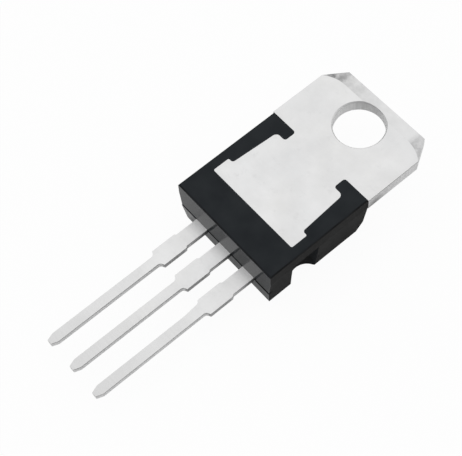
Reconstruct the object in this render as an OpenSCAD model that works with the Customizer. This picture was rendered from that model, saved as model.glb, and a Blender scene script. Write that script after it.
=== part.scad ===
// Three-lead power transistor package with a screw tab, lying on the front of its plastic body.
// Millimetres. X runs across the body, Y from the leads towards the tab, and Z up, out of the
// metal back. The origin is the centre of the mounting hole, in the plane of the metal back.

/* [Plastic body] */
// Width of the back face
body_w = 9.9; // [9.7:0.05:10.3]
// Length of the back face, from the lead end to the tab end
body_l = 8.95; // [8.7:0.05:9.3]
// Thickness, from the back face to the front face
body_t = 4.45; // [4.3:0.05:4.7]
// Draft of the long sides, in degrees, from the front of the header on
side_draft = 7; // [4:0.5:8]
// Draft of the back half at the lead end, in degrees
back_draft = 2; // [1:0.5:3]
// Draft of the front half at the lead end, in degrees
front_draft = 5; // [3:0.5:7]
// Step between the two mould halves at the lead end
mould_step = 0.04; // [0.03:0.01:0.12]
// Draft of the front half at the tab end, in degrees
tab_end_draft = 2.5; // [1:0.5:4]
// Length of the bevel between the tab end and the front face
bevel_l = 0.58; // [0.4:0.02:0.9]
// Height of that bevel
bevel_h = 1.1; // [0.8:0.05:1.4]

/* [Gate mark] */
// Distance between the base lead and the slot where the moulding gate was broken off
gate_from = 0.2; // [0.1:0.05:0.5]
// Height of the slot, in the front half
gate_h = 0.18; // [0.06:0.02:0.24]
// Depth of the slot, behind the back half's end face
gate_depth = 0.2; // [0.04:0.02:0.3]

/* [Side notches] */
// Radius of a notch at the front face
notch_r = 1.23; // [1.15:0.01:1.35]
// Distance of a notch's axis from the lead end
notch_y = 3.19; // [2.9:0.01:3.4]
// Distance of a notch's axis outside the body's side
notch_out = 0.05; // [0:0.01:0.2]
// Draft of a notch's wall, in degrees
notch_draft = 0.5; // [0.5:0.5:3]

/* [Ejector mark] */
// Diameter of the round mark in the front face
mark_d = 1.6; // [1:0.1:2]
// Depth of the mark
mark_depth = 0.08; // [0.04:0.01:0.15]
// Distance of the mark's centre from the lead end
mark_y = 6.7; // [6:0.1:7.2]

/* [Tab] */
// Width of the tab
tab_w = 10; // [9.8:0.05:10.4]
// Length of the tab outside the body
tab_l = 6.45; // [6.2:0.05:6.8]
// Thickness of the tab and of the header under the body
tab_t = 1.06; // [1:0.02:1.4]
// Width of a cut corner, across the tab
corner_w = 1.08; // [0.8:0.02:1.4]
// Length of a cut corner, along the tab
corner_l = 1.75; // [1.4:0.05:2]
// Diameter of the mounting hole
hole_d = 3.86; // [3.6:0.02:4]
// Distance from the hole's centre to the tab's end
hole_end = 2.66; // [2.6:0.02:2.9]
// Broken edge at both rims of the hole
hole_break = 0.09; // [0.03:0.01:0.12]
// Length of the coined slope at the tab's end
coin_l = 1.1; // [0.8:0.05:1.3]
// Drop of the coined slope at the tab's end
coin_drop = 0.18; // [0.1:0.01:0.3]
// Length of the straight part of the slope's inner edge
coin_straight = 6.4; // [6:0.1:7]
// Radius at both ends of that inner edge
coin_r = 2.8; // [2.6:0.1:3.2]

/* [Header under the body] */
// Distance from the body's lead end to the header's edge
header_inset = 2.6; // [2.5:0.05:2.8]
// Width across the two ears
ear_w = 8.3; // [8.1:0.05:8.5]
// Length of an ear
ear_l = 1.4; // [1.2:0.05:1.6]
// Width beside the ears
pad_w_ear = 7.44; // [7.2:0.02:7.6]
// Width beside the slots
pad_w_slot = 6.9; // [6.6:0.02:7.1]
// Width between the two slots that lock the plastic
waist_w = 5.15; // [5:0.05:5.5]
// Length of a slot
slot_l = 1.02; // [0.8:0.02:1.2]

/* [Leads] */
// Distance between the leads' centre lines
pitch = 2.54; // [2.5:0.01:2.58]
// Thickness of a lead
lead_t = 0.46; // [0.42:0.01:0.6]
// Distance from the body's back face to the back of a lead
lead_drop = 2.55; // [2.45:0.01:2.65]
// Length of a lead outside the body
lead_l = 13.55; // [13:0.05:14]
// Width of a lead where it leaves the body
root_w = 1.2; // [1.1:0.01:1.3]
// Width of the part where the dam bar was cut away
dam_w = 1.43; // [1.35:0.01:1.6]
// Distance from the body to the start of that part
dam_from = 1.95; // [1.7:0.05:2.2]
// Distance from the body to the shoulder at its end
dam_to = 3.95; // [3.6:0.05:4.2]
// Length of the slanting shoulder
shoulder_l = 0.17; // [0.1:0.01:0.25]
// Width of the narrow pin
pin_w = 0.76; // [0.68:0.01:0.88]
// Width of the pin's blunt tip
tip_w = 0.38; // [0.3:0.01:0.5]
// Length of the taper at the tip
tip_l = 0.52; // [0.4:0.02:0.7]
// Length of the slow taper below the inner shoulder of the base lead
ramp_l = 1.3; // [0.8:0.05:1.6]
// Extra width of the base lead at the start of that taper
ramp_w = 0.12; // [0.05:0.01:0.2]

/* [Bond pads and downset] */
// Reach of a bond pad, from the centre line of its lead towards the middle
bond_pad_in = 1.27; // [1.15:0.01:1.35]
// Reach of a bond pad towards the body's side
bond_pad_out = 1.15; // [1:0.01:1.25]
// Length of a bond pad
bond_pad_l = 1.3; // [1.1:0.05:1.35]
// Distance from the body's lead end to the far edge of a bond pad
bond_pad_y = 1.85; // [1.75:0.05:1.95]
// Distance from the body's lead end to the middle of the bend at the leads' level
downset_from = 1.1; // [0.9:0.05:1.25]
// Distance from the body's lead end to the middle of the bend at the header
downset_to = 2.45; // [2.35:0.05:2.55]
// Inner radius of both bends
bend_r = 0.25; // [0.1:0.05:0.35]

/* [Die] */
// Side of the square die
die_w = 3; // [2.4:0.1:3.2]
// Thickness of the die
die_t = 0.25; // [0.2:0.01:0.35]
// Thickness of the solder under the die
solder_t = 0.05; // [0.03:0.01:0.08]
// Rim of solder that shows round the die
solder_rim = 0.12; // [0.05:0.01:0.2]
// Distance of the die's centre from the body's lead end
die_y = 5.6; // [5.4:0.05:5.8]

/* [Bond wires] */
// Diameter of the emitter wire
emitter_wire_d = 0.38; // [0.3:0.01:0.42]
// Diameter of the base wire
base_wire_d = 0.2; // [0.15:0.01:0.25]
// Radius of a wire's loop
loop_r = 2.8; // [2.6:0.1:3.2]

/* [Hidden] */

$fn = 48;
over = 1;                 // how far a cutting tool runs past what it cuts
arc_steps = 6;            // flats in a rounded corner of an outline

// Places along Y, counted from the body's lead end, where all pieces are drawn
tab_end = body_l + tab_l;
hole_y = tab_end - hole_end;
back_half_y = -lead_drop * tan(back_draft);
exit_y = back_half_y - mould_step;                // where the leads leave the plastic
dam_start = exit_y - dam_from;
dam_end = exit_y - dam_to;

// Heights
header_front = -tab_t;
lead_back = -lead_drop;
lead_front = lead_back - lead_t;
body_front = -body_t;
die_back = header_front - solder_t;
die_front = die_back - die_t;

// Radii of the moulded and stamped corners
edge_r = 0.15;
bevel_r = 0.25;
ear_r = 0.12;
pad_r = 0.35;
inner_r = 0.22;
shoulder_r = 0.3;
ramp_r = 1;
tip_r = 0.4;
dam_r = 0.05;
bond_pad_r = 0.2;

// Where the wires are bonded
emitter_die_bond = [-die_w / 4, die_y - die_w / 6];
base_die_bond = [die_w * 0.3, die_y - die_w * 0.3];
lead_bond_y = bond_pad_y - bond_pad_l / 2;

// A wedge bond squeezes a wire's end into a foot: its sizes, in wire diameters
foot_l = 2.2;
foot_w = 1.4;
foot_t = 0.6;

silver = [0.86, 0.86, 0.87];
epoxy_black = [0.15, 0.16, 0.17];
silicon_grey = [0.35, 0.36, 0.42];
solder_grey = [0.62, 0.62, 0.64];
aluminium_white = [0.9, 0.9, 0.92];

// ---------- Rounded corners ----------

function unit(v) = v / norm(v);

// Points along the arc that rounds a corner. The arc takes at most half of either side, so that
// it leaves room for the next one.
function corner(before, at, after, r) =
    let (u = unit(before - at),
         v = unit(after - at),
         half = acos(u * v) / 2,
         room = min(norm(before - at), norm(after - at)) / 2,
         fit = min(r, room * tan(half)),
         centre = at + unit(u + v) * fit / sin(half),
         from = at + u * fit / tan(half) - centre,
         to = at + v * fit / tan(half) - centre,
         start = atan2(from.y, from.x),
         sweep = (atan2(to.y, to.x) - start + 540) % 360 - 180)
    [for (i = [0 : arc_steps])
        let (angle = start + sweep * i / arc_steps) centre + fit * [cos(angle), sin(angle)]];

// An outline with rounded corners, from points [x, y, radius]
function rounded(points) =
    let (n = len(points), at = [for (p = points) [p.x, p.y]])
    [for (i = [0 : n - 1])
        each points[i][2] == 0
            ? [at[i]]
            : corner(at[(i + n - 1) % n], at[i], at[(i + 1) % n], points[i][2])];

// The same points on the other side of the Y axis, in the opposite order
function mirrored(points) =
    [for (i = [len(points) - 1 : -1 : 0]) [-points[i].x, points[i].y, points[i][2]]];

// Moves a piece from where it is drawn to its place round the mounting hole
module from_lead_end() {
    translate([0, -hole_y, 0]) children();
}

// Stands a profile drawn in Y and Z on edge, spread evenly to both sides of the middle
module across(width) {
    translate([-width / 2, 0, 0]) rotate([90, 0, 90]) linear_extrude(width) children();
}

// ---------- Leads ----------

// Right side of a lead from its tip to the plastic, measured from its centre line
function lead_side(extra = 0) = concat(
    [[tip_w / 2, exit_y - lead_l, 0],
     [pin_w / 2, exit_y - lead_l + tip_l, tip_r]],
    extra == 0 ? [] : [[pin_w / 2, dam_end - shoulder_l - ramp_l, ramp_r]],
    [[pin_w / 2 + extra, dam_end - shoulder_l, shoulder_r],
     [dam_w / 2, dam_end, dam_r],
     [dam_w / 2, dam_start, dam_r],
     [root_w / 2, dam_start + (dam_w - root_w) / 2, 0]]);

// Right side of the bond pad at the inner end of an outer lead
function bond_pad_side(reach) = [
    [root_w / 2, bond_pad_y - bond_pad_l, inner_r],
    [reach, bond_pad_y - bond_pad_l, bond_pad_r],
    [reach, bond_pad_y, bond_pad_r]];

module lead_strip(right, left) {
    translate([0, 0, lead_front]) linear_extrude(lead_t)
        polygon(rounded(concat(right, mirrored(left))));
}

// An outer lead on the +X side of the middle one
module outer_lead(inner_extra = 0) {
    translate([pitch, 0, 0]) lead_strip(
        concat(lead_side(), bond_pad_side(bond_pad_out)),
        concat(lead_side(inner_extra), bond_pad_side(bond_pad_in)));
}

module base_lead_solid() {
    outer_lead(ramp_w);
}

module emitter_lead_solid() {
    mirror([1, 0, 0]) outer_lead();
}

module emitter_lead() {
    color(silver) from_lead_end() emitter_lead_solid();
}

module base_lead() {
    color(silver) from_lead_end() base_lead_solid();
}

// ---------- Tab, header and collector lead: one stamping ----------

header_side = [
    [ear_w / 2, header_inset, ear_r],
    [ear_w / 2, header_inset + ear_l, ear_r],
    [pad_w_ear / 2, header_inset + ear_l, inner_r],
    [pad_w_slot / 2, body_l - slot_l, pad_r],
    [waist_w / 2, body_l - slot_l, inner_r],
    [waist_w / 2, body_l, inner_r],
    [tab_w / 2, body_l, 0],
    [tab_w / 2, tab_end - corner_l, 0],
    [tab_w / 2 - corner_w, tab_end, 0]];

// What the coining die takes off the back: a slope along the tab's end, turned round the corners
module coin_section() {
    reach = 2 * coin_l;
    polygon([[0, 0], [reach, -coin_drop * reach / coin_l], [reach, over], [0, over]]);
}

module coined_slope() {
    translate([0, tab_end - coin_l, 0]) {
        across(coin_straight) coin_section();
        for (side = [0, 1])
            mirror([side, 0, 0]) translate([coin_straight / 2, -coin_r, 0])
                rotate_extrude(angle = 90) translate([coin_r, 0]) coin_section();
    }
}

module mounting_hole() {
    translate([0, hole_y, header_front - over]) cylinder(h = tab_t + 2 * over, d = hole_d);
    for (face = [0, 1])
        translate([0, hole_y, header_front / 2]) mirror([0, 0, face])
            translate([0, 0, tab_t / 2 - hole_break])
                cylinder(h = 2 * hole_break, d1 = hole_d, d2 = hole_d + 4 * hole_break);
}

module header_plate() {
    difference() {
        translate([0, 0, header_front]) linear_extrude(tab_t)
            polygon(rounded(concat(header_side, mirrored(header_side))));
        coined_slope();
        mounting_hole();
    }
}

// Side view of the strip that climbs from the level of the leads to the header. The strip is
// rolled thin from the back only, so it runs into the header level with the header's front.
module downset_profile() {
    strip_back = header_front + lead_t;
    slope = atan2(lead_drop - tab_t + lead_t, downset_to - downset_from);
    mitre = lead_t / 2 * tan(slope / 2);
    root_y = header_inset + lead_t;
    outer_r = bend_r + lead_t;
    polygon(rounded([
        [exit_y, lead_front, 0],
        [downset_from + mitre, lead_front, outer_r],
        [downset_to + mitre, header_front, bend_r],
        [root_y, header_front, 0],
        [root_y, strip_back, 0],
        [downset_to - mitre, strip_back, outer_r],
        [downset_from - mitre, lead_back, bend_r],
        [exit_y, lead_back, 0]]));
}

module collector_tab_solid() {
    side = concat(lead_side(), [[root_w / 2, 0, 0]]);
    header_plate();
    across(root_w) downset_profile();
    lead_strip(side, side);
}

module collector_tab() {
    color(silver) from_lead_end() collector_tab_solid();
}

// ---------- Die and its solder ----------

module square_slab(side, back, t) {
    translate([-side / 2, die_y - side / 2, back - t]) cube([side, side, t]);
}

module die_attach_solid() {
    square_slab(die_w + 2 * solder_rim, header_front, solder_t);
}

module silicon_die_solid() {
    square_slab(die_w, die_back, die_t);
}

module die_attach() {
    color(solder_grey) from_lead_end() die_attach_solid();
}

module silicon_die() {
    color(silicon_grey) from_lead_end() silicon_die_solid();
}

// ---------- Bond wires ----------

// A flattened end, centred at a distance along the wire's way, on a surface at height z
module wire_foot(along, z, d) {
    l = foot_l * d / 2;
    w = foot_w * d / 2;
    translate([along, 0, z - foot_t * d]) linear_extrude(foot_t * d)
        polygon(rounded([[-l, -w, w], [l, -w, w], [l, w, w], [-l, w, w]]));
}

// A wire loops in one arc from the die to a lead, in the upright plane through both bonds
module bond_wire(from, to, d) {
    way = to - from;
    span = norm(way);
    start = [foot_l * d / 4, die_front - d / 2];
    end = [span - foot_l * d / 4, lead_front - d / 2];
    half = (end - start) / 2;
    rise = sqrt(loop_r * loop_r - half * half);
    centre = start + half + unit([-half.y, half.x]) * rise;
    first = atan2(start.y - centre.y, start.x - centre.x);
    last = atan2(end.y - centre.y, end.x - centre.x);
    translate([from.x, from.y, 0]) rotate([0, 0, atan2(way.y, way.x)]) {
        wire_foot(0, die_front, d);
        translate([centre.x, 0, centre.y]) rotate([90, 0, 0]) rotate([0, 0, first])
            rotate_extrude(angle = (last - first + 360) % 360)
                translate([loop_r, 0]) circle(d = d);
        wire_foot(span, lead_front, d);
    }
}

module emitter_wire_solid() {
    bond_wire(emitter_die_bond, [-pitch, lead_bond_y], emitter_wire_d);
}

module base_wire_solid() {
    bond_wire(base_die_bond, [pitch, lead_bond_y], base_wire_d);
}

module emitter_wire() {
    color(aluminium_white) from_lead_end() emitter_wire_solid();
}

module base_wire() {
    color(aluminium_white) from_lead_end() base_wire_solid();
}

// ---------- Moulded body ----------

// Section across the body: upright beside the header, then drafted to the front
module cross_section() {
    side = [
        [body_w / 2 - (body_t - tab_t) * tan(side_draft), body_front, edge_r],
        [body_w / 2, header_front, 0],
        [body_w / 2, 0, edge_r]];
    polygon(rounded(concat(side, mirrored(side))));
}

// Section along the body. The mould halves meet at the leads' back faces.
module long_section() {
    front_half_t = body_t - lead_drop;
    bevel_y = body_l - (body_t - tab_t - bevel_h) * tan(tab_end_draft);
    polygon(rounded([
        [0, 0, edge_r],
        [back_half_y, lead_back, 0],
        [exit_y, lead_back, 0],
        [exit_y + front_half_t * tan(front_draft), body_front, edge_r],
        [bevel_y - bevel_l, body_front, bevel_r],
        [bevel_y, body_front + bevel_h, bevel_r],
        [body_l, header_front, 0],
        [body_l, 0, 0]]));
}

module side_notch() {
    depth = body_t - tab_t;
    translate([body_w / 2 + notch_out, notch_y, header_front]) mirror([0, 0, 1])
        cylinder(h = depth + over, r1 = notch_r - depth * tan(notch_draft),
                 r2 = notch_r + over * tan(notch_draft));
}

module gate_mark() {
    translate([pitch + root_w / 2 + gate_from, exit_y - over, lead_back - gate_h])
        cube([body_w / 2, mould_step + over + gate_depth, gate_h]);
}

module moulded_body() {
    color(epoxy_black) from_lead_end() difference() {
        intersection() {
            translate([0, body_l + over, 0]) rotate([90, 0, 0])
                linear_extrude(body_l + 3 * over) cross_section();
            across(body_w + 2 * over) long_section();
        }
        for (side = [0, 1]) mirror([side, 0, 0]) side_notch();
        gate_mark();
        translate([0, mark_y, body_front - over]) cylinder(h = mark_depth + over, d = mark_d);
        collector_tab_solid();
        emitter_lead_solid();
        base_lead_solid();
        silicon_die_solid();
        die_attach_solid();
        emitter_wire_solid();
        base_wire_solid();
    }
}

// ---------- Nodes ----------

collector_tab();
emitter_lead();
base_lead();
moulded_body();
silicon_die();
die_attach();
emitter_wire();
base_wire();
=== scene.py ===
# %% [markdown]
# # A darlington transistor with a metal back
#
# A power transistor is one small stamping of plated copper with a block of
# black plastic moulded round half of it. The bare metal back carries the heat
# away to a heat sink, and three leads go to the circuit. The shapes come from
# the CAD model, which this script loads as a fixed frame. What is left to do
# here is the finish: how a sheared edge, a plated face and a moulded face
# catch the light.

# %% Load the frame
import math

import bpy
from mathutils import Matrix, Vector


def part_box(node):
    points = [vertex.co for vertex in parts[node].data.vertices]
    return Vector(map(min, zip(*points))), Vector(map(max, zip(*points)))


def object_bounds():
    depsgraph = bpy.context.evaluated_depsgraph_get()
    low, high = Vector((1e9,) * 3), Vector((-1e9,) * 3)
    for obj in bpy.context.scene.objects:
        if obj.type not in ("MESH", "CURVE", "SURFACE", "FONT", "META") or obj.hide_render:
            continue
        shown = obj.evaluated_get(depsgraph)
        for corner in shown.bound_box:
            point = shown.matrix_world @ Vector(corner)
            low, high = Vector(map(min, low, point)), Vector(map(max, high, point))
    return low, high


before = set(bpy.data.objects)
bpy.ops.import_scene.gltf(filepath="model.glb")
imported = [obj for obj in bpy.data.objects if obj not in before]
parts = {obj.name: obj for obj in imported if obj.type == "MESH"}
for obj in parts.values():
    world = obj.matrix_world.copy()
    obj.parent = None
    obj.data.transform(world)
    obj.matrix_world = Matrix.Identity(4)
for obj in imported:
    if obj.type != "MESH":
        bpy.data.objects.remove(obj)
cad_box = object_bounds()
print("CAD pieces:", ", ".join(sorted(parts)))

# %% [markdown]
# ## Small helpers
#
# Colours are written as sRGB hex, the way that a paint chart gives them, but
# a shader's sockets take linear light, so one function turns the first into
# the second. Another adds a node with its settings and its links in one call,
# which keeps a tree's wiring next to the numbers that it carries. There could
# be a function for each kind of node, but one that takes any kind is shorter,
# and shows the names that Blender itself uses. The third starts a material
# whose patterns are measured in millimetres, so every scale is a real size.

# %% Helpers
MM = 0.001  # a millimetre in metres


def linear(colour):
    """An sRGB hex colour as linear red, green, blue and alpha."""
    channels = [int(colour[i : i + 2], 16) / 255 for i in (1, 3, 5)]
    return [
        c / 12.92 if c <= 0.04045 else ((c + 0.055) / 1.055) ** 2.4 for c in channels
    ] + [1.0]


def add(tree, kind, sockets=None, stops=(), **settings):
    """Adds a node of that kind and returns its first output that is in use.
    Settings are the node's own. Each socket gets a value, or the output that
    feeds it. Stops are places along a colour ramp, and their hex colours."""
    node = tree.nodes.new("ShaderNode" + kind)
    for name, value in settings.items():
        setattr(node, name, value)
    for key, value in (sockets or {}).items():
        if isinstance(value, bpy.types.NodeSocket):
            tree.links.new(value, node.inputs[key])
        else:
            node.inputs[key].default_value = value
    for i, (position, colour) in enumerate(stops):
        ramp = node.color_ramp.elements
        stop = ramp[i] if i < 2 else ramp.new(position)
        stop.position, stop.color = position, linear(colour)
    return next((out for out in node.outputs if out.enabled), None)


def new_material(name):
    """An empty material, its tree, and the place on the piece in millimetres."""
    material = bpy.data.materials.new(name)
    material.use_nodes = True
    tree = material.node_tree
    tree.nodes.clear()
    metres = add(tree, "TexCoord").node.outputs["Object"]
    place = add(tree, "VectorMath", {0: metres, "Scale": 1 / MM}, operation="SCALE")
    return material, tree, place


print("grey #808080 is", round(linear("#808080")[0], 3), "in linear light")

# %% [markdown]
# ## The camera
#
# A long lens, well back, keeps the three leads nearly parallel. The camera
# looks down steeply on the metal back, from the lead end and the base lead's
# side, with a slight roll. It could be aimed with a constraint, but three
# angles and a distance say the same thing in a form that is easy to change.

# %% Camera
AIM = Vector((0.2222, -12.2226, 0.0)) * MM  # the point that it looks at
DISTANCE = 84.0185 * MM
AZIMUTH, ELEVATION, ROLL = (math.radians(a) for a in (-33.4636, 61.681, -7.6714))
SENSOR, LENS = 36, 95.25  # mm, the sensor's width and the lens's focal length


def towards(azimuth, elevation):
    """The unit vector that points that way, from angles in radians."""
    level = Vector((math.cos(azimuth), math.sin(azimuth), 0))
    return level * math.cos(elevation) + Vector((0, 0, math.sin(elevation)))


backwards = towards(AZIMUTH, ELEVATION)
sideways = Matrix.Rotation(ROLL, 3, backwards) @ towards(AZIMUTH + math.pi / 2, 0)
camera = bpy.data.objects.new("camera", bpy.data.cameras.new("camera"))
camera.data.sensor_width = SENSOR
camera.data.lens = LENS
camera.data.clip_start = MM
camera.matrix_world = Matrix.Translation(AIM + backwards * DISTANCE) @ (
    Matrix((sideways, backwards.cross(sideways), backwards)).transposed().to_4x4()
)
bpy.context.scene.collection.objects.link(camera)
bpy.context.scene.camera = camera
print("camera at", [round(c / MM, 2) for c in camera.matrix_world.translation], "mm")

# %% [markdown]
# ## Plated copper strip
#
# The tab, the header under the plastic and the leads are pressed from copper
# strip and then plated with a thin, matt layer of nickel and tin. To the eye
# that is a pale grey metal with a soft sheen, clouded where the plating lies
# thicker, and faintly tinted where the moulding's heat has touched it. One
# plain grey could do for a small lead, but the wide flat back would look like
# paper: slow changes of tone are what make it read as plated metal.

# %% Plated copper: clouds and tint
plated, tree, place = new_material("plated_copper_strip")
CLOUD = 2.6  # mm, the size of a cloud in the plating
WARM = CLOUD / 0.6  # mm, the size of a warmer or a cooler stretch
TINT = 0.05  # how much of a stretch's own colour shows

clouds = add(
    tree,
    "TexNoise",
    {"Vector": place, "Scale": 1 / CLOUD, "Detail": 4.0, "Roughness": 0.6},
)
grey = add(tree, "ValToRGB", {"Fac": clouds}, [(0.3, "#DBDBDB"), (0.7, "#E6E6E6")])
warmth = add(tree, "TexNoise", {"Vector": place, "Scale": 1 / WARM, "Detail": 1.0})
tint = add(
    tree,
    "ValToRGB",
    {"Fac": warmth},
    [(0.35, "#DFE3E8"), (0.5, "#E3E3E2"), (0.65, "#E7E4DB")],
)
clouded = add(tree, "Mix", {"Factor": TINT, "A": grey, "B": tint}, data_type="RGBA")
print("clouds", CLOUD, "mm across, tinted stretches", round(WARM, 1), "mm")

# %% [markdown]
# Handling marks the soft plating with a few faint smears. The leads are also
# painted darker towards their tips, as shade for light that falls off there,
# and lighter beside the plastic, to lift the shade that the body casts on their
# roots. Each mark could be painted by hand, but a mask that is measured from the
# ends of the CAD pieces lands in the right place by itself.

# %% Plated copper: smears
SMEAR = 1.1  # mm, the size of a handling mark
SMEARED = 0.35  # how strong the darkest smear is

marks = add(
    tree,
    "TexNoise",
    {"Vector": place, "Scale": 1 / SMEAR, "Detail": 5.0, "Roughness": 0.7},
)
smears = add(
    tree,
    "MapRange",
    {"Value": marks, "From Min": 0.42, "From Max": 0.26, "To Max": SMEARED},
)
smeared = add(
    tree,
    "Mix",
    {"Factor": smears, "A": clouded, "B": linear("#C6C6C6")},
    data_type="RGBA",
)
print("smears", SMEAR, "mm across")

# %% Plated copper: painted shade at the tips and painted light at the roots
tab_low, tab_high = (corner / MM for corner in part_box("collector_tab"))
body_low, body_high = (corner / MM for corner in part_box("moulded_body"))
lead_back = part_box("base_lead")[1].z / MM  # the level of the leads' back faces
TIP_SHADE_AFTER = 1.63  # mm of lead outside the plastic, and then the painted shade starts
TIP_SHADE = 0.8  # how much painted shade the very tips get
ROOT_LENGTH = 1.5  # mm of a lead beside the plastic that is painted lighter, against the body's shade

xyz = add(tree, "SeparateXYZ", {0: place}).node.outputs
# painted shade: the leads turn darker towards their tips, standing in for light that falls
# off there
tip_shade_range = {
    "Value": xyz["Y"],
    "From Min": body_low.y - TIP_SHADE_AFTER,
    "From Max": tab_low.y,
    "To Max": TIP_SHADE,
}
tip_shade_mask = add(tree, "MapRange", tip_shade_range)
tip_shaded = add(
    tree,
    "Mix",
    {"Factor": tip_shade_mask, "A": smeared, "B": linear("#CDCDCD")},
    data_type="RGBA",
)
near_body = add(
    tree,
    "MapRange",
    {"Value": xyz["Y"], "From Min": body_low.y - ROOT_LENGTH, "From Max": body_low.y},
)
between = lead_back / 2  # a level below the tab and above the leads
on_lead = add(tree, "Math", {0: xyz["Z"], 1: between}, operation="LESS_THAN")
lead_root = add(tree, "Math", {0: near_body, 1: on_lead}, operation="MULTIPLY")
# painted light: #FAFAFA lifts the shade that the body casts on the lead roots
face = add(
    tree, "Mix", {"Factor": lead_root, "A": tip_shaded, "B": linear("#FAFAFA")}, data_type="RGBA"
)
print("leads from y", round(body_low.y, 2), "to", round(tab_low.y, 2), "mm")

# %% [markdown]
# The slope along the tab's end was coined by a die. Its curve catches a dark
# reflection just past the step and towards its two corners, and that dark
# reflection is painted into the colour. The step is a straight line that turns
# down at each end on a quarter circle, so the distance past it is that of a line
# with round ends. The painted reflection could be drawn on an image, but a
# distance needs none and follows the CAD's sizes.

# %% Plated copper: how far past the coined step
COINED = 1.1  # mm, the length of the slope
STEP_X = 3.2  # mm from the middle, where the step starts to turn
STEP_R = 2.8  # mm, the radius that it turns by

turn_y = tab_high.y - COINED - STEP_R  # where both quarter circles have their centres
off_middle = add(tree, "Math", {0: xyz["X"]}, operation="ABSOLUTE")
beside = add(tree, "Math", {0: off_middle, 1: STEP_X}, operation="SUBTRACT")
arm_x = add(tree, "Math", {0: beside, 1: 0.0}, operation="MAXIMUM")
beyond = add(tree, "Math", {0: xyz["Y"], 1: turn_y}, operation="SUBTRACT")
arm_y = add(tree, "Math", {0: beyond, 1: 0.0}, operation="MAXIMUM")
arm = add(tree, "CombineXYZ", {"X": arm_x, "Y": arm_y})
arm_length = add(tree, "VectorMath", {0: arm}, operation="LENGTH")
print("the coined slope starts at y", round(tab_high.y - COINED, 2), "mm")

# %% [markdown]
# The painted reflection is strongest right past the step and fades from there.
# It also changes from side to side: a ramp across the tab gives how much each
# stretch has. A noise then breaks it into patches. The three are multiplied,
# which is the plain way to ask for a mark that needs all of them at once.

# %% Plated copper: the painted dark reflection at the corners
REFLECTION_FADE = 1.2  # mm past the step, where the fading ends

past_step = add(
    tree,
    "MapRange",
    {"Value": arm_length, "From Min": STEP_R, "From Max": STEP_R + REFLECTION_FADE},
)
fading = add(
    tree,
    "ValToRGB",
    {"Fac": past_step},
    [(0.0, "#000000"), (0.03, "#FFFFFF"), (0.4, "#F0F0F0"), (1.0, "#C4C4C4")],
)
across = add(
    tree,
    "MapRange",
    {"Value": xyz["X"], "From Min": tab_low.x, "From Max": tab_high.x},
)
SIDE_TO_SIDE = [  # a place across the tab, and how strong the painted reflection is there
    (0.06, "#FFFFFF"),
    (0.13, "#E6E6E6"),
    (0.18, "#AAAAAA"),
    (0.22, "#959595"),
    (0.26, "#AAAAAA"),
    (0.34, "#818181"),
    (0.48, "#6E6E6E"),
    (0.56, "#545454"),
    (0.82, "#545454"),
    (0.86, "#B4B4B4"),
    (0.94, "#BCBCBC"),
]
corners = add(tree, "ValToRGB", {"Fac": across}, SIDE_TO_SIDE)
print("burnish fades over", REFLECTION_FADE, "mm")

# %% Plated copper: patches in the painted reflection
REFLECTION_PATCH = 0.45  # mm, the size of a patch in the painted reflection

patches = add(
    tree,
    "TexNoise",
    {"Vector": place, "Scale": 1 / REFLECTION_PATCH, "Detail": 4.0, "Roughness": 0.65},
)
patchy = add(
    tree,
    "MapRange",
    {"Value": patches, "From Min": 0.35, "From Max": 0.6, "To Min": 0.45, "To Max": 1.0},
)
near_corner = add(tree, "Math", {0: fading, 1: corners}, operation="MULTIPLY")
painted_reflection = add(tree, "Math", {0: near_corner, 1: patchy}, operation="MULTIPLY")
# painted reflection: #7C7C7D is the dark reflection on the coined slope, laid into the
# colour
back_face = add(
    tree, "Mix", {"Factor": painted_reflection, "A": face, "B": linear("#7C7C7D")}, data_type="RGBA"
)
print("patches", REFLECTION_PATCH, "mm across")

# %% [markdown]
# A punch cuts the strip part of the way and tears the rest, so to the eye the
# walls are duller than the faces, with fine upright scores. The walls could be
# a material of their own, but then the mesh would have to be split. Here the
# way that the surface faces tells a wall from a face: a wall's normal lies
# level, so its upright part is small.

# %% Plated copper: the sheared walls
SCORE_GAP = 0.12  # mm, coarser than the real 0.02 mm so that the scores show
SCORE_STRETCH = 12  # a score is this many times as tall as it is wide

facing = add(tree, "TexCoord").node.outputs["Normal"]
upright = add(tree, "SeparateXYZ", {0: facing}).node.outputs["Z"]
flatness = add(tree, "Math", {0: upright}, operation="ABSOLUTE")
wall = add(tree, "MapRange", {"Value": flatness, "From Min": 0.5, "From Max": 0.2})
tall = add(tree, "Mapping", {"Vector": place, "Scale": (1, 1, 1 / SCORE_STRETCH)})
scores = add(tree, "TexNoise", {"Vector": tall, "Scale": 1 / SCORE_GAP, "Detail": 1.0})
torn = add(tree, "ValToRGB", {"Fac": scores}, [(0.3, "#D8D8D8"), (0.7, "#E6E6E6")])
print("scores", SCORE_GAP, "mm apart")

# %% [markdown]
# Some of the walls are darker. The punch rolled their back edge over, and the
# shade along that rolled edge is painted as a dark line. The cut where the dam
# bar held the leads together is dark. The walls are also darker beside the
# plastic on the leads, and near the foot of the tab. Each could be a colour of
# its own, but they are one grey behind one mask, the largest of the four, so
# the wall stays one metal.

# %% Plated copper: dark marks and painted shade on the walls
ROLLED = 0.07  # mm, how deep the punch has rolled a wall's back edge over
DAM_FROM, DAM_TO = 2.13, 4.03  # mm of lead outside the plastic, where the bar was cut
TAB_FOOT = Vector((tab_high.x, body_high.y + 0.6, -1.2))  # mm, the foot of the tab
FOOT_IN, FOOT_OUT = 0.3, 1.1  # mm from there, where the darkening is full and gone
WALL_DARKEST, CUT = 0.7, 0.5  # how dark the rolled edge's painted shade and the tab's foot get, and the cut

down = add(tree, "Math", {0: xyz["Z"], 1: -1.0}, operation="MULTIPLY")
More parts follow.
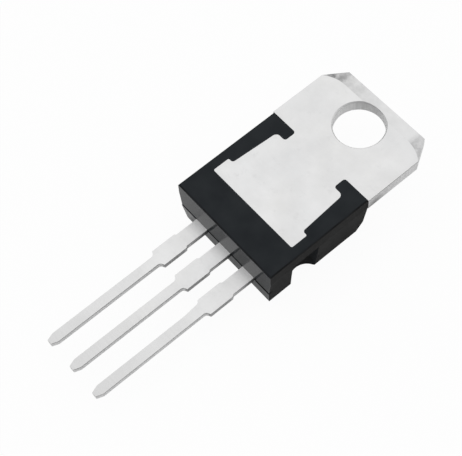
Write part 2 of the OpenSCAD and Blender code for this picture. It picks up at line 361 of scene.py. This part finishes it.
# the leads' back lies one such step below the tab's, so one mask does for both
below_back = add(tree, "Math", {0: down, 1: -lead_back}, operation="MODULO")
# painted shade: a dark line along each wall's rolled-over back edge
rolled_edge_shade = add(
    tree,
    "MapRange",
    {"Value": below_back, "From Min": 2 * ROLLED, "From Max": ROLLED / 2, "To Max": WALL_DARKEST},
)
dam_y = body_low.y - (DAM_FROM + DAM_TO) / 2
dam_half = (DAM_TO - DAM_FROM) / 2
at_dam = add(tree, "Math", {0: xyz["Y"], 1: dam_y, 2: dam_half}, operation="COMPARE")
dam = add(tree, "Math", {0: at_dam, 1: CUT}, operation="MULTIPLY")
from_tab_foot = add(tree, "VectorMath", {0: place, 1: TAB_FOOT}, operation="DISTANCE")
# the wall turns darker near the foot of the tab
tab_foot_dark = add(
    tree,
    "MapRange",
    {"Value": from_tab_foot, "From Min": FOOT_OUT, "From Max": FOOT_IN, "To Max": WALL_DARKEST},
)
# the same lead-root mask makes the walls beside the plastic darker
dark_marks_and_shade = lead_root
for mark in (rolled_edge_shade, dam, tab_foot_dark):
    dark_marks_and_shade = add(tree, "Math", {0: dark_marks_and_shade, 1: mark}, operation="MAXIMUM")
wall_tone = add(
    tree,
    "Mix",
    {"Factor": dark_marks_and_shade, "A": torn, "B": linear("#6E6E6E")},
    data_type="RGBA",
)
print("the dam bar was cut at y", round(dam_y, 2), "mm")

# %% [markdown]
# Rolling also leaves very fine lines across the strip. They change the
# roughness a little and make a faint relief, and on the walls the scores make
# the relief instead. The roughness could be one number, but then the sheen
# would be perfectly even, and on real strip it never is. All the rest is the
# plain recipe for a metal: Metallic at 1, and the grey as its colour.

# %% Plated copper: the shader
LINE_GAP = 0.16  # mm, coarser than the real 0.01 mm so that the lines show
LINE_STRETCH = 16  # a line is this many times as long as it is wide
SMOOTHEST, ROUGHEST = 0.38, 0.42  # the roughness of matt tin plating
RELIEF = 0.004 * MM  # the depth of a line or a score, and of the grain in the plastic

stretched = add(tree, "Mapping", {"Vector": place, "Scale": (1 / LINE_STRETCH, 1, 1)})
lines = add(
    tree, "TexNoise", {"Vector": stretched, "Scale": 1 / LINE_GAP, "Detail": 2.0}
)
tone = add(tree, "Mix", {"Factor": wall, "A": back_face, "B": wall_tone}, data_type="RGBA")
height = add(tree, "Mix", {"Factor": wall, "A": lines, "B": scores}, data_type="FLOAT")
line_range = {"From Min": 0.3, "From Max": 0.7, "To Min": SMOOTHEST, "To Max": ROUGHEST}
roughness = add(tree, "MapRange", {"Value": lines, **line_range})
bumps = add(tree, "Bump", {"Height": height, "Strength": 0.1, "Distance": RELIEF})
metal = {"Base Color": tone, "Metallic": 1.0, "Roughness": roughness, "Normal": bumps}
surface = add(tree, "BsdfPrincipled", metal)
add(tree, "OutputMaterial", {"Surface": surface})
print(len(tree.nodes), "nodes in", plated.name)

# %% [markdown]
# ## Epoxy moulding compound
#
# The body is an epoxy loaded with fine silica and carbon black, pressed hot
# into a steel mould, and its skin copies the steel. The back, the front and the
# long sides were spark eroded, so to the eye they are a matt, finely grained
# black, a little less blue on the sides. It could be one black, but a slow
# mottle where the compound flowed is what shows that a dark face is a surface.

# %% Epoxy: the matt skin
epoxy, tree, place = new_material("moulded_epoxy_compound")
MOTTLE = 1.8  # mm, slow change of tone where the compound flowed

facing = add(tree, "TexCoord").node.outputs["Normal"]
steepness = add(tree, "VectorMath", {0: facing}, operation="ABSOLUTE")
normal = add(tree, "SeparateXYZ", {0: steepness}).node.outputs
mottle = add(tree, "TexNoise", {"Vector": place, "Scale": 1 / MOTTLE, "Detail": 3.0})
cool = add(tree, "ValToRGB", {"Fac": mottle}, [(0.3, "#1D2125"), (0.7, "#272B2E")])
plain = add(tree, "ValToRGB", {"Fac": mottle}, [(0.3, "#1E1E1E"), (0.7, "#282828")])
on_side = add(tree, "MapRange", {"Value": normal["X"], "From Min": 0.6, "From Max": 0.9})
skin = add(tree, "Mix", {"Factor": on_side, "A": cool, "B": plain}, data_type="RGBA")
print("mottle", MOTTLE, "mm across")

# %% [markdown]
# The mould's two ends were ground and polished so that the body slides out, and
# the plastic there mirrors the leads like black glass. The faces could be
# picked by hand and given a second material, but the CAD's mesh stays as it
# is. So a mask looks for a surface that faces along the leads and lies near an
# end, which leaves out the walls of the notches.

# %% Epoxy: the polished ends
POLISHED_IN = 0.6  # mm, how far in from each end the polish can reach

xyz = add(tree, "SeparateXYZ", {0: place}).node.outputs
middle_y = (body_low.y + body_high.y) / 2
inside = (body_high.y - body_low.y) / 2 - POLISHED_IN
from_middle = add(tree, "Math", {0: xyz["Y"], 1: middle_y}, operation="SUBTRACT")
distance = add(tree, "Math", {0: from_middle}, operation="ABSOLUTE")
near_end = add(tree, "Math", {0: distance, 1: inside}, operation="GREATER_THAN")
end_face = add(tree, "Math", {0: normal["Y"], 1: near_end}, operation="MULTIPLY")
polish = add(tree, "MapRange", {"Value": end_face, "From Min": 0.7, "From Max": 0.9})
print("polished past", round(inside, 2), "mm from the body's middle")

# %% [markdown]
# The body's edges get painted shade, in patches. An edge could be found
# with a bevel or a pointiness node, but a rounded edge has a simpler sign: its
# normal leans between two axes, so the largest of its three parts is well
# under 1. The mottle serves a second time, and says where the shade is stronger.

# %% Epoxy: painted shade along the edges
wide = add(tree, "Math", {0: normal["X"], 1: normal["Y"]}, operation="MAXIMUM")
widest = add(tree, "Math", {0: wide, 1: normal["Z"]}, operation="MAXIMUM")
edge = add(tree, "MapRange", {"Value": widest, "From Min": 0.97, "From Max": 0.85})
# painted shade: edges are darkened, more in some patches than others
edge_shade_patches = add(
    tree,
    "MapRange",
    {"Value": mottle, "From Min": 0.42, "From Max": 0.58, "To Min": 0.2},
)
edge_shade = add(tree, "Math", {0: edge, 1: edge_shade_patches}, operation="MULTIPLY")
print("edges are rubbed in patches of", MOTTLE, "mm")

# %% [markdown]
# The gate, where the plastic flowed into the mould, was torn off and left a
# slot beside the base lead. Torn epoxy is dull, and the slot is painted very
# dark as the shade inside it. The slot could have a material of its own, but its
# walls are part of the body's mesh, so a box round it switches the polish off
# and paints the shade in. Inside the box, the offset from its middle is less
# than half of its size on all three axes.

# %% Epoxy: the torn gate
GATE = Vector((4.2, body_low.y + 0.1, lead_back - 0.09))  # mm, the slot's middle
GATE_HALF = Vector((0.9, 0.3, 0.12))  # mm, half of the slot's size and a bit more

offset = add(tree, "VectorMath", {0: place, 1: GATE}, operation="SUBTRACT")
share = add(tree, "VectorMath", {0: offset, 1: GATE_HALF}, operation="DIVIDE")
reach = add(tree, "VectorMath", {0: share}, operation="ABSOLUTE")
out = add(tree, "SeparateXYZ", {0: reach}).node.outputs
further = add(tree, "Math", {0: out["X"], 1: out["Y"]}, operation="MAXIMUM")
furthest = add(tree, "Math", {0: further, 1: out["Z"]}, operation="MAXIMUM")
torn_and_shaded_gate = add(tree, "Math", {0: furthest, 1: 1.0}, operation="LESS_THAN")
print("gate slot at", [round(c, 2) for c in GATE], "mm")

# %% [markdown]
# The shader puts the masks together. A plastic isn't metallic: it shows its own
# colour, and over it a weaker mirror image that the IOR sets. A matt shader and
# a polished one could be mixed, but one shader whose roughness follows the
# polish does the same. The grain is a relief, which the polish flattens to one
# even height.

# %% Epoxy: the shader
GRAIN = 0.14  # mm, coarser than the real 0.03 mm so that it shows
ERODED, POLISHED = 0.8, 0.14  # roughness of the spark-eroded and the polished skin
LEVEL = 0.5  # the one height of a polished face

unpolished = add(tree, "Math", {0: 1.0, 1: torn_and_shaded_gate}, operation="SUBTRACT")
shiny = add(tree, "Math", {0: polish, 1: unpolished}, operation="MULTIPLY")
roughness = add(
    tree, "MapRange", {"Value": shiny, "To Min": ERODED, "To Max": POLISHED}
)
grain = add(tree, "TexNoise", {"Vector": place, "Scale": 1 / GRAIN, "Detail": 2.0})
height = add(tree, "Mix", {"Factor": shiny, "A": grain, "B": LEVEL}, data_type="FLOAT")
bumps = add(tree, "Bump", {"Height": height, "Strength": 0.2, "Distance": RELIEF})
# painted shade: #0A0B0C darkens the edges and fills the gate slot
darker = add(tree, "Math", {0: edge_shade, 1: torn_and_shaded_gate}, operation="MAXIMUM")
tone = add(
    tree, "Mix", {"Factor": darker, "A": skin, "B": linear("#0A0B0C")}, data_type="RGBA"
)
plastic = {"Base Color": tone, "Roughness": roughness, "Normal": bumps}
reflection = {"IOR": 1.5, "Specular IOR Level": 0.2}  # epoxy, dulled by its filler
surface = add(tree, "BsdfPrincipled", {**plastic, **reflection})
add(tree, "OutputMaterial", {"Surface": surface})
print(len(tree.nodes), "nodes in", epoxy.name)

# %% [markdown]
# ## What the plastic hides
#
# Under the plastic a square of silicon is soldered to the header, and two
# aluminium wires run from its bond pads to the outer leads. No one sees them
# until the body is cut open, but each has its own finish.
#
# The die is polished silicon with a bright film of metal over each transistor
# cell. To the eye it is a bright mirror with a fine dark grid. The grid could
# be cut into the mesh, but it is far flatter than it is wide, so a brick
# texture with square bricks draws it.

# %% Silicon die
silicon, tree, place = new_material("polished_silicon")
CELL = 0.25  # mm, between the cells on the die
HAZE = 2 / 3  # mm, slow change of the polish

cell_grid = {
    "Color1": linear("#A9ABB2"),
    "Color2": linear("#A1A4AD"),
    "Mortar": linear("#4B4E5C"),
    "Mortar Size": 0.08,
    "Brick Width": 1.0,
    "Row Height": 1.0,
}
cells = add(
    tree, "TexBrick", {"Vector": place, "Scale": 1 / CELL, **cell_grid}, offset=0.0
)
haze = add(tree, "TexNoise", {"Vector": place, "Scale": 1 / HAZE, "Detail": 1.0})
roughness = add(tree, "MapRange", {"Value": haze, "To Min": 0.1, "To Max": 0.2})
film = {"Base Color": cells, "Metallic": 1.0, "Roughness": roughness}
add(tree, "OutputMaterial", {"Surface": add(tree, "BsdfPrincipled", film)})
print("cells", CELL, "mm apart in", silicon.name)

# %% [markdown]
# The soft solder under the die froze from its rim inwards into small crystals.
# To the eye it is a dull, slightly grainy grey. A noise would give clouds, but
# crystals have edges, so this is a Voronoi texture: each cell is a crystal, and
# it is duller towards its edge.

# %% Soft solder
solder, tree, place = new_material("frozen_soft_solder")
CRYSTAL = 0.3  # mm, the size of a crystal in the solder

crystals = add(tree, "TexVoronoi", {"Vector": place, "Scale": 1 / CRYSTAL})
tone = add(tree, "ValToRGB", {"Fac": crystals}, [(0.0, "#B9B8B4"), (0.8, "#9C9B98")])
roughness = add(tree, "MapRange", {"Value": crystals, "To Min": 0.35, "To Max": 0.6})
frozen = {"Base Color": tone, "Metallic": 1.0, "Roughness": roughness}
add(tree, "OutputMaterial", {"Surface": add(tree, "BsdfPrincipled", frozen)})
print("crystals", CRYSTAL, "mm across in", solder.name)

# %% [markdown]
# The bond wires are aluminium pulled through a drawing die. To the eye they
# are bright, with fine lines that run along them. The lines could follow each
# wire's curve, but both wires run mostly along the body, so a noise that is
# stretched that way is close enough.

# %% Aluminium wire
wire, tree, place = new_material("drawn_aluminium_wire")
DRAW_GAP = 0.03  # mm, between the lines that the drawing die leaves
DRAW_STRETCH = 20  # a line is this many times as long as it is wide

along = add(tree, "Mapping", {"Vector": place, "Scale": (1, 1 / DRAW_STRETCH, 1)})
drawn = add(tree, "TexNoise", {"Vector": along, "Scale": 1 / DRAW_GAP, "Detail": 1.0})
tone = add(tree, "ValToRGB", {"Fac": drawn}, [(0.3, "#D3D4D6"), (0.7, "#E4E5E7")])
roughness = add(tree, "MapRange", {"Value": drawn, "To Min": 0.2, "To Max": 0.35})
bright = {"Base Color": tone, "Metallic": 1.0, "Roughness": roughness}
add(tree, "OutputMaterial", {"Surface": add(tree, "BsdfPrincipled", bright)})
print("drawing lines", DRAW_GAP, "mm apart in", wire.name)

# %% [markdown]
# ## Dressing the pieces
#
# The CAD shapes are right as they are, so each piece keeps its mesh and only
# gets its finish in its material slot. The edges stay as sharp as the punch and
# the mould leave them. Each piece could be dressed in the cell that makes its
# finish, but one table shows at a glance which pieces share one.

# %% Dress the pieces
FINISH = {
    "collector_tab": plated,
    "emitter_lead": plated,
    "base_lead": plated,
    "moulded_body": epoxy,
    "silicon_die": silicon,
    "die_attach": solder,
    "emitter_wire": wire,
    "base_wire": wire,
}
for name, finish in FINISH.items():
    parts[name].material_slots[0].material = finish
    print(name, "is", finish.name)

# %% [markdown]
# ## The floor
#
# The part lies on a sheet of white paper. Paper under soft light comes out a
# pale grey, so for the camera it is nearly all plain white glow, as on a bright
# light table. A little of it stays paper, which keeps the part's soft shadow.
# What the plastic's polished ends and the metal's walls mirror is mostly the
# shaded paper, with a smaller share of the glow. It could glow just as much for
# them, but then the ends would shine far too brightly.

# %% The sheet of paper
HALF = 1.0  # m, half of the sheet's side
floor_level = cad_box[0][2]

ends = (-HALF, HALF)
sheet = bpy.data.meshes.new("floor")
sheet.from_pydata([(x, y, floor_level) for x in ends for y in ends], [], [(0, 2, 3, 1)])
floor = bpy.data.objects.new("floor", sheet)
bpy.context.scene.collection.objects.link(floor)
print("floor at", round(floor_level / MM, 2), "mm")

# %% [markdown]
# Both the paper and the studio give each kind of ray its own share of glow. The
# nodes for it could be added twice, but one function keeps the two alike. Light
# Path says where a ray comes from: straight from the camera, or from a mirror,
# or through glass. Any other ray carries light and shadow, and gets no glow.

# %% White paper
SEEN_GLOW = 0.95  # how much of the paper's white is glow to the camera
MIRRORED_GLOW = 0.12  # and to a mirror or through glass


def share_of_glow(tree, seen, mirrored):
    """How much plain white glow a ray gets, by where the ray comes from."""
    ray = add(tree, "LightPath").node.outputs
    sockets = {0: ray["Is Glossy Ray"], 1: ray["Is Transmission Ray"]}
    second = add(tree, "Math", sockets, operation="MAXIMUM")
    weaker = add(tree, "Math", {0: second, 1: mirrored}, operation="MULTIPLY")
    sockets = {0: ray["Is Camera Ray"], 1: seen, 2: weaker}
    return add(tree, "Math", sockets, operation="MULTIPLY_ADD")


paper, tree, _ = new_material("white_paper")
fibres = add(tree, "BsdfDiffuse", {"Color": linear("#FFFFFF")})
glow = add(tree, "Emission", {"Color": linear("#FFFFFF"), "Strength": 1.0})
glow_share = share_of_glow(tree, SEEN_GLOW, MIRRORED_GLOW)
mixed = add(tree, "MixShader", {0: glow_share, 1: fibres, 2: glow})
add(tree, "OutputMaterial", {"Surface": mixed})
sheet.materials.append(paper)
print(paper.name, "glows", SEEN_GLOW, "to the camera and", MIRRORED_GLOW, "in a mirror")

# %% [markdown]
# ## The studio
#
# The light is a pale tent that is open on the camera's side, so it is brightest
# behind the tab and falls away evenly towards the camera. It could be built
# from white walls, but one slope of brightness over the sky does the same. A
# wide metal face mirrors the tent and a little of the white glow behind it, and
# so it shows its own grey.

# %% The tent
TENT_BRIGHT = 1.08  # the tent's light behind the tab, where 1 is white
TENT_DARK = 0.3  # and where it is open
BRIGHT_WAY = towards(math.radians(120), 0)
OPEN, FULL = -0.75, 0.65  # how far a ray leans that way where the slope starts and ends

world = bpy.data.worlds.new("studio")
bpy.context.scene.world = world
world.use_nodes = True
tree = world.node_tree
tree.nodes.clear()
ray_way = add(tree, "TexCoord").node.outputs["Generated"]
lean = add(tree, "VectorMath", {0: ray_way, 1: BRIGHT_WAY}, operation="DOT_PRODUCT")
slope = {"From Min": OPEN, "From Max": FULL, "To Min": TENT_DARK, "To Max": TENT_BRIGHT}
tent_light = add(tree, "MapRange", {"Value": lean, **slope})
tent = add(tree, "Background", {"Color": linear("#FFFFFF"), "Strength": tent_light})
white = add(tree, "Background", {"Color": linear("#FFFFFF"), "Strength": 1.0})
glow_share = share_of_glow(tree, 1.0, MIRRORED_GLOW)
mixed = add(tree, "MixShader", {0: glow_share, 1: tent, 2: white})
add(tree, "OutputWorld", {"Surface": mixed})
print("tent from", TENT_DARK, "to", TENT_BRIGHT)

# %% [markdown]
# One small lamp high on the emitter lead's side adds a soft shadow on the other
# side. A sun lamp would give a hard one, so it is a square that is half as wide
# as it is far away.

# %% The side lamp
LAMP_SIZE = 0.25  # m
LAMP_AWAY = 0.5  # m
LAMP_POWER = 0.1  # W, very little, because the lamp is near and the part is tiny
LAMP_AZIMUTH, LAMP_ELEVATION = math.radians(185), math.radians(66)

lamp = bpy.data.lights.new("side_lamp", "AREA")
lamp.size = LAMP_SIZE
lamp.energy = LAMP_POWER
lamp_way = towards(LAMP_AZIMUTH, LAMP_ELEVATION)
lamp_place = Vector((0, AIM.y, 0)) + lamp_way * LAMP_AWAY
lamp_turn = lamp_way.to_track_quat("Z", "Y").to_matrix().to_4x4()
side_lamp = bpy.data.objects.new("side_lamp", lamp)
side_lamp.matrix_world = Matrix.Translation(lamp_place) @ lamp_turn
bpy.context.scene.collection.objects.link(side_lamp)
print("lamp of", LAMP_POWER, "W,", LAMP_AWAY, "m away")

# %% [markdown]
# ## Finish
#
# The view transform is Standard, so a colour comes out as it is written.

# %% Colour management
bpy.context.scene.view_settings.view_transform = "Standard"
